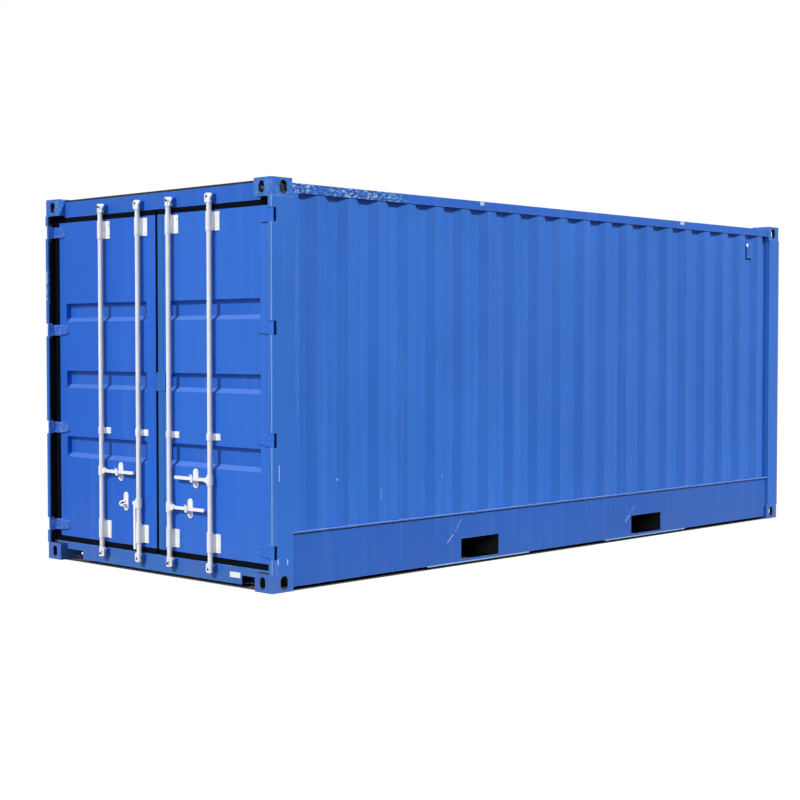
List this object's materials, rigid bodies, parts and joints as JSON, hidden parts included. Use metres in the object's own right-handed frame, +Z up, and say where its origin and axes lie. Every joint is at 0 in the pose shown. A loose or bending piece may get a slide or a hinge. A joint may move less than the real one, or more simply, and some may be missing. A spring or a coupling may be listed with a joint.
{
  "type": "shipping_container",
  "caption": "Steel 20 ft shipping container with corrugated sides, hinged end doors, lock rods, fork pockets and corner castings",
  "frame": {"origin": "middle of the base, at the underside of the corner castings' feet", "axes": "X across the width, Y along the length with the doors at -Y, Z up"},
  "size_m": [2.438, 6.058, 2.591],
  "materials": {
    "body_paint": "satin",
    "door_paint": "satin",
    "lock_gear_paint": "satin",
    "seal_rubber": "matte",
    "floor_wood": "matte"
  },
  "bodies": {
    "frame": {"bottom_corner_castings": "body_paint", "cam_keepers": "body_paint", "cross_members": "body_paint", "door_header": "body_paint", "door_sill": "body_paint", "floor_boards": "floor_wood", "fork_pocket_plates": "body_paint", "left_bottom_side_rail": "body_paint", "left_door_post": "body_paint", "left_rear_post": "body_paint", "left_side_wall": "body_paint", "left_top_side_rail": "body_paint", "rear_bottom_rail": "body_paint", "rear_top_rail": "body_paint", "rear_wall": "body_paint", "right_bottom_side_rail": "body_paint", "right_door_post": "body_paint", "right_rear_post": "body_paint", "right_side_wall": "body_paint", "right_top_side_rail": "body_paint", "roof_sheet": "body_paint", "top_corner_castings": "body_paint", "vent_covers": "body_paint"},
    "right_door": {"right_door_frame": "door_paint", "right_door_gasket": "seal_rubber", "right_door_handle_catches": "lock_gear_paint", "right_door_hinge_blades": "door_paint", "right_door_rod_guides": "lock_gear_paint", "right_door_sheet": "door_paint", "seam_plate": "door_paint"},
    "left_door": {"left_door_frame": "door_paint", "left_door_gasket": "seal_rubber", "left_door_handle_catches": "lock_gear_paint", "left_door_hinge_blades": "door_paint", "left_door_rod_guides": "lock_gear_paint", "left_door_sheet": "door_paint"},
    "left_outer_lock": {"left_outer_rod": "lock_gear_paint"},
    "left_outer_lever": {"left_outer_handle": "lock_gear_paint"},
    "left_inner_lock": {"left_inner_rod": "lock_gear_paint"},
    "left_inner_lever": {"left_inner_handle": "lock_gear_paint"},
    "right_inner_lock": {"right_inner_rod": "lock_gear_paint"},
    "right_inner_lever": {"right_inner_handle": "lock_gear_paint"},
    "right_outer_lock": {"right_outer_rod": "lock_gear_paint"},
    "right_outer_lever": {"right_outer_handle": "lock_gear_paint"}
  },
  "joints": [
    {"name": "right_door_hinge", "type": "hinge", "parent": "frame", "child": "right_door", "pos_m": [1.202, -3.012, 1.3], "axis": [0, 0, 1], "range_deg": [0, 265]},
    {"name": "left_door_hinge", "type": "hinge", "parent": "frame", "child": "left_door", "pos_m": [-1.202, -3.012, 1.3], "axis": [0, 0, -1], "range_deg": [0, 265]},
    {"name": "left_outer_rod_turn", "type": "hinge", "parent": "left_door", "child": "left_outer_lock", "pos_m": [-0.591, -3.003, 1.3], "axis": [0, 0, 1], "range_deg": [-110, 0]},
    {"name": "left_inner_rod_turn", "type": "hinge", "parent": "left_door", "child": "left_inner_lock", "pos_m": [-0.167, -3.003, 1.3], "axis": [0, 0, -1], "range_deg": [-110, 0]},
    {"name": "right_inner_rod_turn", "type": "hinge", "parent": "right_door", "child": "right_inner_lock", "pos_m": [0.167, -3.003, 1.3], "axis": [0, 0, 1], "range_deg": [-110, 0]},
    {"name": "right_outer_rod_turn", "type": "hinge", "parent": "right_door", "child": "right_outer_lock", "pos_m": [0.591, -3.003, 1.3], "axis": [0, 0, -1], "range_deg": [-110, 0]},
    {"name": "left_outer_handle_lift", "type": "hinge", "parent": "left_outer_lock", "child": "left_outer_lever", "pos_m": [-0.545, -3.003, 0.672], "axis": [0, -1, 0], "range_deg": [0, 30]},
    {"name": "left_inner_handle_lift", "type": "hinge", "parent": "left_inner_lock", "child": "left_inner_lever", "pos_m": [-0.213, -3.003, 0.47], "axis": [0, 1, 0], "range_deg": [0, 70]},
    {"name": "right_inner_handle_lift", "type": "hinge", "parent": "right_inner_lock", "child": "right_inner_lever", "pos_m": [0.213, -3.003, 0.47], "axis": [0, -1, 0], "range_deg": [0, 30]},
    {"name": "right_outer_handle_lift", "type": "hinge", "parent": "right_outer_lock", "child": "right_outer_lever", "pos_m": [0.545, -3.003, 0.672], "axis": [0, 1, 0], "range_deg": [0, 30]}
  ]
}
